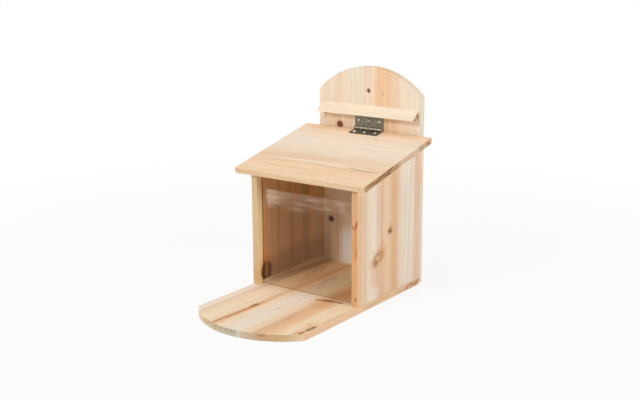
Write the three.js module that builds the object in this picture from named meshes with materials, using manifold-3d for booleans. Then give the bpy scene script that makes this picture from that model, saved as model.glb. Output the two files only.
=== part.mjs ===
// Squirrel feeder box: an arched back board, a box with a sloping hinged lid, a clear pane that slides in
// grooves at the front, and a base board that runs forward as a rounded platform.
// Millimetres, +Z up, the front faces -Y. In the box's own frame X is 0 midway between the side panels,
// Y is 0 at their front edges and Z is 0 under the base board; the whole is then centred along Y.

import * as THREE from "three";
import { mergeVertices } from "three/addons/utils/BufferGeometryUtils.js";
import Module from "manifold-3d";

const wasm = await Module();
wasm.setup();

// Box and its boards
const boxWidth = 186;
const boxDepth = 166;
const baseThickness = 10;
const sideThickness = 10;
const backThickness = 12;

// Platform, the part of the base board in front of the box
const platformReach = 163;
const platformNoseRise = 41.5;
const platformCornerRadius = 12;

// Back board, a little narrower than the box; its rise is counted from the lid's rear edge
const backInset = 3;
const backRise = 95;
const archRise = 38.5;
const archCornerRadius = 4;
const hangHoleRadius = 3;
const hangHoleDrop = 36;

// Lid; a shift is how far right of the middle a piece sits
const lidShift = -2;
const lidSideOverhang = 20;
const lidFrontOverhang = 11;
const lidThickness = 9;
const lidRearHeight = 227;
const lidBackGap = 1;
const lidPitch = THREE.MathUtils.degToRad(13);

// Drip strip, a triangular batten above the hinge
const stripShift = 2;
const stripEndInset = 4;
const stripHeight = 14.5;
const stripDepth = 17;
const stripNose = 1.2;
const stripHingeGap = 3.3;

// Front pane and its grooves; the feeding gap is between the pane and the closed lid
const paneThickness = 2;
const feedGap = 27.3;
const grooveSetback = 12;
const grooveDepth = 4;
const paneClearance = 0.3;

// Butt hinge between the lid and the back board
const hingeShift = 2;
const hingeLength = 50;
const hingeLeafDepth = 17.5;
const hingeLeafThickness = 1.2;
const hingePinRadius = 1.1;
const hingePinClearance = 0.15;
const hingeKnuckleGap = 0.35;
const hingeHoleInset = 6.5;
const hingeHoleOffset = 11;
const hingeHoleCount = 3;
const knuckleCount = 5;

// Hinge screws, countersunk with a domed head and a cross recess
const hingeScrew = { length: 9, shank: 1.2, head: 2.6, sink: 1.3, dome: 0.7, tip: 2.5 };
const recessWidth = 0.8;
const recessDepth = 1;
const recessArmShare = 0.62;

// Nails, driven flush: long ones join the boards, short ones hold the drip strip
const boardNail = { length: 30, shank: 0.8, head: 1.8, sink: 1.1, dome: 0, tip: 2 };
const stripNail = { length: 20, shank: 0.8, head: 1.8, sink: 1.1, dome: 0, tip: 2 };
const nailInset = 0.4;
const nailMargin = 26;
const nailCount = 3;
const backToBaseNailSpacing = 90;
const stripNailSpacing = 110;
const stripNailHeightShare = 0.35;

// Gap round a screw or nail in its hole
const fastenerClearance = 0.15;

// Gap between a turned or cut piece and what it rests on
const seatGap = 0.3;

// Overrun of a cutting solid past the faces it goes through
const overrun = 2;

// Facets of round shapes
const arcSegments = 44;
const cornerSegments = 6;
const fastenerSegments = 12;
const knuckleSegments = 16;
const hangHoleSegments = 20;

// Places worked out from the sizes above
const rearFace = boxDepth + backThickness;
const innerHalf = boxWidth / 2 - sideThickness;
const panelMiddle = (boxWidth - sideThickness) / 2;
const backWidth = boxWidth - 2 * backInset;
const backHeight = lidRearHeight + backRise;
const backNailX = (innerHalf + backWidth / 2) / 2;
const knuckleRadius = hingePinRadius + hingePinClearance + hingeLeafThickness;
const leafFace = -hingePinRadius - hingePinClearance;
const lidTopOffset = -knuckleRadius - seatGap;
const lidUnderOffset = lidTopOffset - lidThickness;
const pinY = boxDepth - seatGap - knuckleRadius;
const pinZ = lidRearHeight - lidTopOffset / Math.cos(lidPitch) - (boxDepth - pinY) * Math.tan(lidPitch);
const stripBottom = pinZ + hingeLeafDepth + stripHingeGap;
const sides = { left: -1, right: 1 };

// Materials
const wood = (color) => new THREE.MeshStandardMaterial({ color, roughness: 0.7, metalness: 0 });
const creamFir = wood(0xe9cfa6);
const peachFir = wood(0xe6bf95);
const paleFir = wood(0xefdcb9);
const agedBronze = new THREE.MeshStandardMaterial({ color: 0x5c574a, roughness: 0.45, metalness: 0.85 });
const zincPlate = new THREE.MeshStandardMaterial({ color: 0xb9b6ac, roughness: 0.35, metalness: 0.9 });
const clearAcrylic = new THREE.MeshStandardMaterial({
  color: 0xe8eef0,
  roughness: 0.05,
  metalness: 0,
  transparent: true,
  opacity: 0.3,
});

// Height, at a place Y, of a plane of the closed lid that lies a given offset from the pin
function lidPlaneHeight(offset, y) {
  return pinZ + (y - pinY) * Math.tan(lidPitch) + offset / Math.cos(lidPitch);
}

// Height of a side panel's sloping top edge
function panelTop(y) {
  return lidPlaneHeight(lidUnderOffset, y) - seatGap;
}

// A closed geometry as a solid for cutting and joining
function toSolid(geometry) {
  geometry.deleteAttribute("normal");
  geometry.deleteAttribute("uv");
  const merged = mergeVertices(geometry);
  const vertProperties = new Float32Array(merged.attributes.position.array);
  const triVerts = new Uint32Array(merged.index.array);
  return new wasm.Manifold(new wasm.Mesh({ numProp: 3, vertProperties, triVerts }));
}

// A solid as a geometry
function toGeometry(solid) {
  const { vertProperties, triVerts } = solid.getMesh();
  const geometry = new THREE.BufferGeometry();
  geometry.setAttribute("position", new THREE.BufferAttribute(vertProperties, 3));
  geometry.setIndex(new THREE.BufferAttribute(triVerts, 1));
  geometry.computeVertexNormals();
  return geometry;
}

function cutAll(solid, cutters) {
  return cutters.reduce((rest, cutter) => rest.subtract(cutter), solid);
}

function piece(name, geometry, material) {
  const mesh = new THREE.Mesh(geometry, material);
  mesh.name = name;
  return mesh;
}

// Evenly spaced places from low to high
function spread(count, low, high) {
  return Array.from({ length: count }, (_, i) => low + ((high - low) * i) / (count - 1));
}

// A box between two corners
function block(low, high) {
  const size = high.map((value, i) => value - low[i]);
  const middle = high.map((value, i) => (value + low[i]) / 2);
  return new THREE.BoxGeometry(...size).translate(...middle);
}

// An outline extruded from 0 along Z
function slab(shape, thickness) {
  return new THREE.ExtrudeGeometry(shape, { depth: thickness, bevelEnabled: false });
}

// An outline in the YZ plane, given as [y, z] points, extruded along X over a width centred on 0
function bar(points, width) {
  const shape = new THREE.Shape(points.map(([y, z]) => new THREE.Vector2(y, z)));
  return slab(shape, width).translate(0, 0, -width / 2).rotateY(Math.PI / 2).rotateX(Math.PI / 2);
}

// Outline of a board from a flat end at 0 to the top of its round end at a given length: an arc that rises
// over the whole width, with the corners between it and the straight sides rounded
function roundEndedBoard(width, length, rise, corner) {
  const radius = (width ** 2 / 4 + rise ** 2) / (2 * rise);
  const cornerX = width / 2 - corner;
  const cornerAngle = Math.asin(cornerX / (radius - corner));
  const arcY = length - radius;
  const cornerY = arcY + (radius - corner) * Math.cos(cornerAngle);
  const half = [];
  for (const angle of spread(arcSegments / 2 + 1, 0, cornerAngle)) {
    half.push([radius * Math.sin(angle), arcY + radius * Math.cos(angle)]);
  }
  for (const angle of spread(cornerSegments + 1, cornerAngle, Math.PI / 2).slice(1)) {
    half.push([cornerX + corner * Math.sin(angle), cornerY + corner * Math.cos(angle)]);
  }
  const flatEnd = [[-width / 2, 0], [width / 2, 0]];
  const mirrored = half.slice(1).map(([x, y]) => [-x, y]);
  const outline = [...flatEnd, ...half.reverse(), ...mirrored];
  return new THREE.Shape(outline.map(([x, y]) => new THREE.Vector2(x, y)));
}

// A screw or nail along -Z with its head's rim at 0, or, with a clearance, the hole it sits in
function fastenerGeometry(kind, clearance = 0) {
  const point = -kind.length - clearance;
  const shank = kind.shank + clearance;
  const head = kind.head + clearance;
  const profile = [[0, point], [shank, point + kind.tip], [shank, -kind.sink], [head, 0]];
  if (clearance > 0) {
    profile.push([head, overrun], [0, overrun]);
  } else if (kind.dome > 0) {
    profile.push([head * Math.SQRT1_2, kind.dome * Math.SQRT1_2], [0, kind.dome]);
  } else {
    profile.push([0, 0]);
  }
  const points = profile.map(([r, z]) => new THREE.Vector2(r, z));
  return new THREE.LatheGeometry(points, fastenerSegments).rotateX(Math.PI / 2);
}

// Turns that make a fastener's head face down, back, front or up
const turns = {
  down: new THREE.Matrix4().makeRotationX(Math.PI),
  back: new THREE.Matrix4().makeRotationX(-Math.PI / 2),
  front: new THREE.Matrix4().makeRotationX(Math.PI / 2),
  up: new THREE.Matrix4(),
};

function fastenerMatrix({ at, facing }) {
  return new THREE.Matrix4().makeTranslation(...at).multiply(turns[facing]);
}

// The holes of a list of fasteners
function fastenerHoles(list) {
  return list.map((fastener) => {
    const hole = fastenerGeometry(fastener.kind, fastenerClearance);
    return toSolid(hole.applyMatrix4(fastenerMatrix(fastener)));
  });
}

// The cross recess in the head of a hinge screw
function crossRecess(kind) {
  const arm = kind.head * recessArmShare;
  const low = kind.dome - recessDepth;
  const high = kind.dome + overrun;
  return [
    toSolid(block([-arm, -recessWidth / 2, low], [arm, recessWidth / 2, high])),
    toSolid(block([-recessWidth / 2, -arm, low], [recessWidth / 2, arm, high])),
  ];
}

function fastenerPiece(fastener) {
  const { name, kind } = fastener;
  const whole = fastenerGeometry(kind);
  const geometry = kind === hingeScrew ? toGeometry(cutAll(toSolid(whole), crossRecess(kind))) : whole;
  const mesh = piece(name, geometry, zincPlate);
  mesh.applyMatrix4(fastenerMatrix(fastener));
  return mesh;
}

// Nails up through the base board into the side panels
function baseNails(side) {
  return spread(nailCount, nailMargin, boxDepth - nailMargin).map((y, i) => ({
    name: `base_nail_${side}_${i + 1}`,
    kind: boardNail,
    facing: "down",
    at: [sides[side] * panelMiddle, y, nailInset],
  }));
}

// Nails from behind, through the back board into the side panels
function backNails(side) {
  const low = baseThickness + nailMargin;
  return spread(nailCount, low, panelTop(boxDepth) - nailMargin).map((z, i) => ({
    name: `back_nail_${side}_${i + 1}`,
    kind: boardNail,
    facing: "back",
    at: [sides[side] * backNailX, rearFace - nailInset, z],
  }));
}

// Nails from behind into the rear edge of the base board
const backToBaseNails = Object.entries(sides).map(([side, sign]) => ({
  name: `back_to_base_nail_${side}`,
  kind: boardNail,
  facing: "back",
  at: [(sign * backToBaseNailSpacing) / 2, rearFace - nailInset, baseThickness / 2],
}));

// Nails from behind into the drip strip
const stripNails = Object.entries(sides).map(([side, sign]) => ({
  name: `strip_nail_${side}`,
  kind: stripNail,
  facing: "back",
  at: [
    stripShift + (sign * stripNailSpacing) / 2,
    rearFace - nailInset,
    stripBottom + stripNailHeightShare * stripHeight,
  ],
}));

// Hinge screws, the upper ones in the box's frame and the lower ones in the lid's
const hingeHoles = spread(hingeHoleCount, hingeHoleInset - hingeLength / 2, hingeLength / 2 - hingeHoleInset);
const upperHingeScrews = hingeHoles.map((x, i) => ({
  name: `hinge_screw_upper_${i + 1}`,
  kind: hingeScrew,
  facing: "front",
  at: [hingeShift + x, pinY - leafFace, pinZ + hingeHoleOffset],
}));
const lowerHingeScrews = hingeHoles.map((x, i) => ({
  name: `hinge_screw_lower_${i + 1}`,
  kind: hingeScrew,
  facing: "up",
  at: [x, -hingeHoleOffset, leafFace],
}));

// Base board: floor of the box and rounded platform in one
function baseBoard() {
  const length = boxDepth + platformReach;
  const outline = roundEndedBoard(boxWidth, length, platformNoseRise, platformCornerRadius);
  const board = slab(outline, baseThickness).rotateZ(Math.PI).translate(0, boxDepth, 0);
  const holes = fastenerHoles([...baseNails("left"), ...baseNails("right"), ...backToBaseNails]);
  return piece("base_board", toGeometry(cutAll(toSolid(board), holes)), creamFir);
}

// Back board: arched top and a hole to hang it by
function backBoard() {
  const outline = roundEndedBoard(backWidth, backHeight, archRise, archCornerRadius);
  const board = slab(outline, backThickness).rotateX(Math.PI / 2).translate(0, rearFace, 0);
  const drill = new THREE.CylinderGeometry(
    hangHoleRadius, hangHoleRadius, backThickness + 2 * overrun, hangHoleSegments,
  );
  const hangHole = drill.translate(0, boxDepth + backThickness / 2, backHeight - hangHoleDrop);
  const nails = [...backNails("left"), ...backNails("right"), ...backToBaseNails, ...stripNails];
  const holes = fastenerHoles([...nails, ...upperHingeScrews]);
  return piece("back_board", toGeometry(cutAll(toSolid(board), [toSolid(hangHole), ...holes])), paleFir);
}

// Side panel: sloping top edge, and a groove for the pane near the front that is open at the top
function sidePanel(side) {
  const sign = sides[side];
  const outline = [
    [0, baseThickness],
    [boxDepth, baseThickness],
    [boxDepth, panelTop(boxDepth)],
    [0, panelTop(0)],
  ];
  const panel = bar(outline, sideThickness).translate(sign * panelMiddle, 0, 0);
  const [low, high] = [sign * (innerHalf - overrun), sign * (innerHalf + grooveDepth)].sort((a, b) => a - b);
  const groove = block(
    [low, grooveSetback, baseThickness - overrun],
    [high, grooveSetback + paneThickness + 2 * paneClearance, panelTop(boxDepth)],
  );
  const holes = fastenerHoles([...baseNails(side), ...backNails(side)]);
  const solid = cutAll(toSolid(panel), [toSolid(groove), ...holes]);
  return piece(`side_panel_${side}`, toGeometry(solid), peachFir);
}

// Front pane: clear acrylic, its sides in the grooves, its foot on the base board and the feeding gap above
function frontPane() {
  const half = innerHalf + grooveDepth - paneClearance;
  const front = grooveSetback + paneClearance;
  const foot = baseThickness + seatGap;
  const top = lidPlaneHeight(lidUnderOffset, front) - feedGap;
  const pane = block([-half, front, foot], [half, front + paneThickness, top]);
  return piece("front_pane", pane, clearAcrylic);
}

// Drip strip: sheds rain past the hinge and stops the raised lid
function dripStrip() {
  const outline = [
    [boxDepth - stripDepth, stripBottom],
    [boxDepth, stripBottom],
    [boxDepth, stripBottom + stripHeight],
    [boxDepth - stripDepth, stripBottom + stripNose],
  ];
  const strip = bar(outline, backWidth - 2 * stripEndInset).translate(stripShift, 0, 0);
  return piece("drip_strip", toGeometry(cutAll(toSolid(strip), fastenerHoles(stripNails))), paleFir);
}

// Lid board, in the lid's frame: the hinge pin is the X axis, with 0 at its middle, and the lid lies along
// -Y. Its front edge is cut square, and its rear edge is plumb when the lid is closed, clear of the back.
function lidBoard() {
  const sin = Math.sin(lidPitch);
  const cos = Math.cos(lidPitch);
  const rear = (offset) => (boxDepth - lidBackGap - pinY + offset * sin) / cos;
  const front = (-lidFrontOverhang - pinY + lidTopOffset * sin) / cos;
  const outline = [
    [front, lidUnderOffset],
    [rear(lidUnderOffset), lidUnderOffset],
    [rear(lidTopOffset), lidTopOffset],
    [front, lidTopOffset],
  ];
  const board = bar(outline, boxWidth + 2 * lidSideOverhang).translate(lidShift - hingeShift, 0, 0);
  return piece("lid_board", toGeometry(cutAll(toSolid(board), fastenerHoles(lowerHingeScrews))), peachFir);
}

function cylinderAlongX(radius, length) {
  return new THREE.CylinderGeometry(radius, radius, length, knuckleSegments).rotateZ(Math.PI / 2);
}

// Hinge leaf in the lid's frame: a plate with knuckles rolled round the pin. The leaf has every second
// knuckle, counted from the first one that it has.
function hingeLeaf(name, firstKnuckle) {
  const plateBack = -knuckleRadius;
  const plateEdge = -knuckleRadius - hingeKnuckleGap;
  const pitch = hingeLength / knuckleCount;
  const plate = block([-hingeLength / 2, -hingeLeafDepth, plateBack], [hingeLength / 2, plateEdge, leafFace]);
  let leaf = toSolid(plate);
  for (let i = firstKnuckle; i < knuckleCount; i += 2) {
    const left = i * pitch - hingeLength / 2 + (i > 0 ? hingeKnuckleGap / 2 : 0);
    const right = (i + 1) * pitch - hingeLength / 2 - (i < knuckleCount - 1 ? hingeKnuckleGap / 2 : 0);
    const barrel = cylinderAlongX(knuckleRadius, right - left).translate((left + right) / 2, 0, 0);
    const root = block([left, -hingeLeafDepth / 2, plateBack], [right, 0, leafFace]);
    leaf = leaf.add(toSolid(barrel)).add(toSolid(root));
  }
  const bore = cylinderAlongX(hingePinRadius + hingePinClearance, hingeLength + 2 * overrun);
  const drilled = cutAll(leaf, [toSolid(bore), ...fastenerHoles(lowerHingeScrews)]);
  return piece(name, toGeometry(drilled), agedBronze);
}

function hingePin() {
  return piece("hinge_pin", cylinderAlongX(hingePinRadius, hingeLength), zincPlate);
}

// Hinge parts that stay with the back board, on the pin's axis, with the leaf stood up against the board
const fixedHinge = new THREE.Group();
const upperLeaf = hingeLeaf("hinge_leaf_upper", 0);
upperLeaf.rotation.set(-Math.PI / 2, Math.PI, 0);
fixedHinge.position.set(hingeShift, pinY, pinZ);
fixedHinge.add(upperLeaf, hingePin());

// Lid with its leaf and screws, turned about the pin to its closed slope
const lid = new THREE.Group();
lid.position.set(hingeShift, pinY, pinZ);
lid.rotation.x = lidPitch;
lid.add(lidBoard(), hingeLeaf("hinge_leaf_lower", 1), ...lowerHingeScrews.map(fastenerPiece));

// The whole box, centred along Y
const feederBox = new THREE.Group();
feederBox.position.y = (platformReach - rearFace) / 2;
feederBox.add(baseBoard(), backBoard(), sidePanel("left"), sidePanel("right"), frontPane(), dripStrip());
feederBox.add(...[...baseNails("left"), ...baseNails("right")].map(fastenerPiece));
feederBox.add(...[...backNails("left"), ...backNails("right")].map(fastenerPiece));
feederBox.add(...[...backToBaseNails, ...stripNails, ...upperHingeScrews].map(fastenerPiece));
feederBox.add(fixedHinge, lid);

export default feederBox;
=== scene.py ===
import math
import random
from collections import namedtuple

import bmesh
import bpy
from mathutils import Matrix, Vector


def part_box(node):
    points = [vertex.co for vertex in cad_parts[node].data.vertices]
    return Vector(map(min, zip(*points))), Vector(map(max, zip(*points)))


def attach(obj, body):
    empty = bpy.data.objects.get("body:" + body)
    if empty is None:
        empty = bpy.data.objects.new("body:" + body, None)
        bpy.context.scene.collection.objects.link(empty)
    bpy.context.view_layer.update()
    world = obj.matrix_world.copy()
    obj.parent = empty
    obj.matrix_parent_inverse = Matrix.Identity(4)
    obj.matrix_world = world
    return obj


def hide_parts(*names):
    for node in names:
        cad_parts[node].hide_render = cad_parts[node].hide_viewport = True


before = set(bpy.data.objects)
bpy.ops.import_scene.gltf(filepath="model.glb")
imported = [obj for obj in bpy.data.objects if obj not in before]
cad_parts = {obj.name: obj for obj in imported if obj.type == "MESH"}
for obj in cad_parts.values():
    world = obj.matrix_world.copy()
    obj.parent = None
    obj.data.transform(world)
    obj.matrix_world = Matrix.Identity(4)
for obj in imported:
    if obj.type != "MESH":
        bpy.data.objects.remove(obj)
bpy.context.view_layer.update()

MM = 0.001
X, Y, Z = range(3)

# Camera of the photograph
CAMERA_PLACE = (0.8790, -1.1723, 0.5088)
CAMERA_YAW = math.radians(36.086)
CAMERA_PITCH = math.radians(13.776)
CAMERA_ROLL = math.radians(-0.301)
CAMERA_LENS = 60.16
CAMERA_SENSOR = 36

# Hinge, in millimetres about its pin's middle, and the lid's closed slope
PIN = sum(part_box("hinge_pin"), Vector()) / 2
LID_PITCH = math.radians(13)
HINGE_LENGTH = 50
LEAF_DEPTH = 17.5
LEAF_THICKNESS = 1.2
LEAF_CORNER = 1.2
LEAF_ARRIS = 0.12
KNUCKLES = 5
KNUCKLE_GAP = 0.35
KNUCKLE_SEAM = 198
PIN_RADIUS = 1.1
BORE_RADIUS = 1.25
KNUCKLE_RADIUS = BORE_RADIUS + LEAF_THICKNESS
SCREW_ROW = 11
SCREW_PLACES = (-18.5, 0, 18.5)
SCREW_HOLE = 2.75
SCREW_HOLE_FOOT = 1.5

# Rounding of the boards' arrises and of the pane's edges
ARRIS = 0.7
PANE_ARRIS = 0.25
ARRIS_SEGMENTS = 3

# Angles between faces above which an edge is shaded sharp, and above which a board's or leaf's is rounded
SHADED_ANGLE = math.radians(40)
BOARD_ANGLE = math.radians(30)
LEAF_ANGLE = math.radians(50)

# Places in millimetres: the side panels' front edges and how deep they are, the back board's front face, the
# base board's top, and the hanging hole, across and up
PANEL_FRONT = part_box("side_panel_left")[0].y / MM
PANEL_DEPTH = 166
BACK_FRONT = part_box("back_board")[0].y / MM
BASE_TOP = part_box("side_panel_left")[0].z / MM
HANG_HOLE = (0, 286)
HANG_HOLE_RADIUS = 3

# Bounds in millimetres of the faces round the feed compartment, which lie in the boards round it and behind
# the pane, and how soft they are. Painted shade and painted light inside the box go on these faces
COMPARTMENT_LOW = (-87, PANEL_FRONT + 12, BASE_TOP - 0.8)
COMPARTMENT_HIGH = (87, BACK_FRONT + 1, 217)
COMPARTMENT_SOFT = (1, 1, 0.6)

# Growth rings in millimetres: where a stave's pith may lie across and below the board, how far rings wander
# and swell round a knot, and how far apart they are
PITH_SPREAD = 250
PITH_DEPTH = 14
PITH_DEPTH_SPREAD = 70
RING_WANDER = 16
KNOT_SWELL = 7
RING_SPACING = 2.1
RING_SPACING_SPREAD = 2.2

# Noises in the wood: length along the grain and width in millimetres, detail, roughness, and a shift that
# sets one apart from another, as each stave's noises are
WANDER = (190, 70, 2)
RIPPLE = (42, 14, 2)
FIBRE = (30, 0.5, 3, 0.6)
PORES = (5, 0.35, 1)
BLOTCHES = (5, 4, 3, 0.6, 5)
SPECKLES = (3, 1.6, 2)
STAVE_SHIFT = 37

# Streaks and clouds in a board's tone, each a noise with its gain and its tint at full strength
VARIATIONS = (
    ((300, 7, 3, 0.6), 1.5, (0.95, 0.87, 0.78)),
    ((420, 2.6, 2), 0.7, (0.95, 0.88, 0.8)),
    ((95, 24, 2), 1, (0.96, 0.93, 0.9)),
    ((150, 15, 2, 0.5, 9), 1, (1.01, 0.96, 0.97)),
)

# Tints at full strength, the tone round a knot, and the bounds of the wood's colour
LATE_TINT = (0.72, 0.5, 0.33)
FIBRE_TINT = (0.93, 0.9, 0.86)
PORE_TINT = (0.9, 0.84, 0.76)
GLUE_TINT = (0.8, 0.72, 0.62)
HALO = "dba46a"
DARKEST, BRIGHTEST = 0.01, 0.96

# How squarely a face looks along an axis where it starts and ends to count as an edge or end, or as flat
SQUARE = (0.6, 0.85)
FLAT = (0.3, 0.7)

# Tones of planed fir
MILK = "fbeedd"
BONE = "f1e1cc"
IVORY = "f5e3cd"
CREAM = "f2dcc2"
STRAW = "f4dab8"
SHELL = "efd3b5"
BLUSH = "ebcfb7"
PEACH = "f0cba6"
HONEY = "f2c69c"
ROSE = "e8c4a6"
TAN = "e6be98"
AMBER = "e4b485"
ORANGE = "dca06c"
UMBER = "c0905f"
COPPER = "b5743c"
RESIN = "96582a"
BARK = "643614"

# A knot on a board: its place along and across the grain and its two radii in millimetres, its angle from
# the grain in degrees, and its tones
Knot = namedtuple("Knot", "at size angle strength core rim")


def linear(code):
    """A hex sRGB colour as linear RGBA"""
    channels = [int(code[i:i + 2], 16) / 255 for i in (0, 2, 4)]
    return (*[c / 12.92 if c <= 0.04045 else ((c + 0.055) / 1.055) ** 2.4 for c in channels], 1)


class Nodes:
    """A material's or world's node tree, with a short call for each kind of node, which gives its output"""

    def __init__(self, owner, output="OutputMaterial"):
        self.owner = owner
        owner.use_nodes = True
        self.tree = owner.node_tree
        self.tree.nodes.clear()
        self.output = self.node(output)

    def node(self, kind, **settings):
        node = self.tree.nodes.new(f"ShaderNode{kind}")
        for key, value in settings.items():
            setattr(node, key, value)
        return node

    def put(self, socket, value):
        if isinstance(value, bpy.types.NodeSocket):
            self.tree.links.new(value, socket)
        else:
            socket.default_value = value

    def fed(self, node, *values):
        """A node's first output, with values put to its inputs in their order"""
        for socket, value in zip(node.inputs, values):
            self.put(socket, value)
        return node.outputs[0]

    def math(self, operation, *values):
        return self.fed(self.node("Math", operation=operation), *values)

    def times(self, a, b):
        return self.math("MULTIPLY", a, b)

    def scaled(self, value, gain, start):
        return self.math("MULTIPLY_ADD", value, gain, start)

    def vector(self, operation, *values):
        return self.fed(self.node("VectorMath", operation=operation), *values)

    def length(self, vector):
        node = self.node("VectorMath", operation="LENGTH")
        self.put(node.inputs[0], vector)
        return node.outputs["Value"]

    def axes(self, vector):
        node = self.node("SeparateXYZ")
        self.put(node.inputs[0], vector)
        return list(node.outputs)

    def join(self, x, y, z):
        return self.fed(self.node("CombineXYZ"), x, y, z)

    def smooth(self, value, low, high, to_low=0.0, to_high=1.0):
        node = self.node("MapRange", interpolation_type="SMOOTHSTEP")
        return self.fed(node, value, low, high, to_low, to_high)

    def window(self, value, low, high, soft):
        """1 between two places, and 0 past a soft edge"""
        rise = self.smooth(value, low - soft, low)
        return self.times(rise, self.smooth(value, high, high + soft, 1, 0))

    def mix(self, factor, a, b, blend="MIX"):
        node = self.node("Mix", data_type="RGBA", blend_type=blend)
        for socket, value in zip((node.inputs[0], node.inputs[6], node.inputs[7]), (factor, a, b)):
            self.put(socket, value)
        return node.outputs[2]

    def shade(self, color, amount, tint):
        """The colour times a tint where the amount is 1, and lightened by it below 0"""
        change = tuple(channel - 1 for channel in tint)
        return self.vector("MULTIPLY", color, self.vector("MULTIPLY_ADD", amount, change, (1, 1, 1)))

    def made(self, kind, inputs, **settings):
        """A new node's first output, with some of its inputs put by name"""
        node = self.node(kind, **settings)
        for name, value in inputs.items():
            self.put(node.inputs[name], value)
        return node.outputs[0]

    def noise(self, vector, detail, roughness=0.5):
        inputs = {"Vector": vector, "Scale": 1, "Detail": detail, "Roughness": roughness}
        return self.made("TexNoise", inputs)

    def ramp(self, factor, stops, interpolation="LINEAR"):
        """A colour ramp through (position, colour) stops"""
        node = self.node("ValToRGB")
        node.color_ramp.interpolation = interpolation
        elements = node.color_ramp.elements
        while len(elements) < len(stops):
            elements.new(0.5)
        for element, (position, color) in zip(elements, stops):
            element.position = position
            element.color = color
        self.put(node.inputs[0], factor)
        return node.outputs[0]

    def bumped(self, height, strength, distance):
        return self.made("Bump", {"Strength": strength, "Distance": distance, "Height": height})

    def seen(self):
        """1 for what the camera sees, straight, mirrored or through glass, and 0 for light on the object"""
        path = self.node("LightPath")
        share = path.outputs["Is Camera Ray"]
        for kind in ("Glossy", "Transmission"):
            share = self.math("MAXIMUM", share, path.outputs[f"Is {kind} Ray"])
        return share

    def mix_shaders(self, share, first, second):
        return self.fed(self.node("MixShader"), share, first, second)

    def show(self, shader):
        self.put(self.output.inputs["Surface"], shader)
        return self.owner


class Wood:
    """Places on a board in millimetres: along the grain, across it, and through the board"""

    def __init__(self, nodes, grain, across, in_lid):
        coordinates = nodes.node("TexCoord")
        place = coordinates.outputs["Object"]
        normal = coordinates.outputs["Normal"]
        if in_lid:
            place = self.turned(nodes, nodes.vector("SUBTRACT", place, tuple(PIN)))
            normal = self.turned(nodes, normal)
        self.place = nodes.axes(nodes.vector("MULTIPLY", place, (1 / MM,) * 3))
        deep = ({X, Y, Z} - {grain, across}).pop()
        self.along = self.place[grain]
        self.side = self.place[across]
        self.deep = self.place[deep]
        facing = nodes.axes(normal)
        self.end = nodes.smooth(nodes.math("ABSOLUTE", facing[grain]), *SQUARE)
        self.edge = nodes.smooth(nodes.math("ABSOLUTE", facing[across]), *SQUARE)
        # Marks go through the flat faces, but lie only on edges and ends that look right, forwards or up
        towards = [facing[X], nodes.times(facing[Y], -1), facing[Z]]
        self.faces = {
            "flat": nodes.smooth(nodes.math("ABSOLUTE", facing[deep]), *FLAT),
            "edge": nodes.smooth(towards[across], *SQUARE),
            "end": nodes.smooth(towards[grain], *SQUARE),
            # The faces round the compartment, which carry the painted shade and light inside the box
            "inner": self.compartment(nodes),
        }

    @staticmethod
    def turned(nodes, vector):
        inputs = {"Vector": vector, "Angle": -LID_PITCH}
        return nodes.made("VectorRotate", inputs, rotation_type="X_AXIS")

    def on(self, face):
        """The two places that run over a flat face, an edge or an end"""
        places = {"edge": (self.along, self.deep), "end": (self.side, self.deep)}
        return places.get(face, (self.along, self.side))

    def compartment(self, nodes):
        """1 on the faces round the feed compartment, behind the pane"""
        mask = nodes.math("SUBTRACT", 1, self.end)
        for value, *bounds in zip(self.place, COMPARTMENT_LOW, COMPARTMENT_HIGH, COMPARTMENT_SOFT):
            mask = nodes.times(mask, nodes.window(value, *bounds))
        return mask


def offset(nodes, places, at, angle):
    """Places along and across a line through a point, turned by an angle in degrees"""
    a = nodes.math("SUBTRACT", places[0], at[0])
    s = nodes.math("SUBTRACT", places[1], at[1])
    cos, sin = math.cos(math.radians(angle)), math.sin(math.radians(angle))
    run = nodes.math("ADD", nodes.times(a, cos), nodes.times(s, sin))
    off = nodes.math("SUBTRACT", nodes.times(s, cos), nodes.times(a, sin))
    return run, off


def length_of(nodes, x, y):
    return nodes.math("SQRT", nodes.math("ADD", nodes.times(x, x), nodes.times(y, y)))


def knot_distance(nodes, wood, knot):
    """Distance from a knot's middle, 1 at its rim"""
    run, off = offset(nodes, wood.on("flat"), knot.at, knot.angle)
    along, across = knot.size
    return length_of(nodes, nodes.math("DIVIDE", run, along), nodes.math("DIVIDE", off, across))


def growth_rings(nodes, wood, stave, middle, wander, ripple, knots):
    """How dark the late wood is, from 0 to 1, by the distance from the stave's pith, which its three random
    numbers place and tilt. Rings bend round a knot."""
    first, second, third = stave
    side = nodes.math("ADD", nodes.scaled(wander, RING_WANDER, wood.side), ripple)
    pith = -(PITH_SPREAD + RING_WANDER) / 2 - middle
    dx = nodes.math("ADD", side, nodes.scaled(first, PITH_SPREAD, pith))
    dz = nodes.math("ADD", wood.deep, nodes.scaled(second, PITH_DEPTH_SPREAD, PITH_DEPTH))
    slope = nodes.scaled(third, 0.1, -0.05)
    radius = nodes.scaled(wood.along, slope, length_of(nodes, dx, dz))
    for distance in knots:
        squared = nodes.times(distance, distance)
        swell = nodes.math("EXPONENT", nodes.times(squared, -0.28))
        radius = nodes.scaled(swell, KNOT_SWELL, radius)
    spacing = nodes.scaled(second, RING_SPACING_SPREAD, RING_SPACING)
    phase = nodes.math("FRACT", nodes.math("DIVIDE", radius, spacing))
    # The tone deepens through the ring to its late wood, and starts anew at the next
    late = 0.88
    return nodes.times(nodes.smooth(phase, 0.25, late), nodes.smooth(phase, late, 1, 1, 0))


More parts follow.
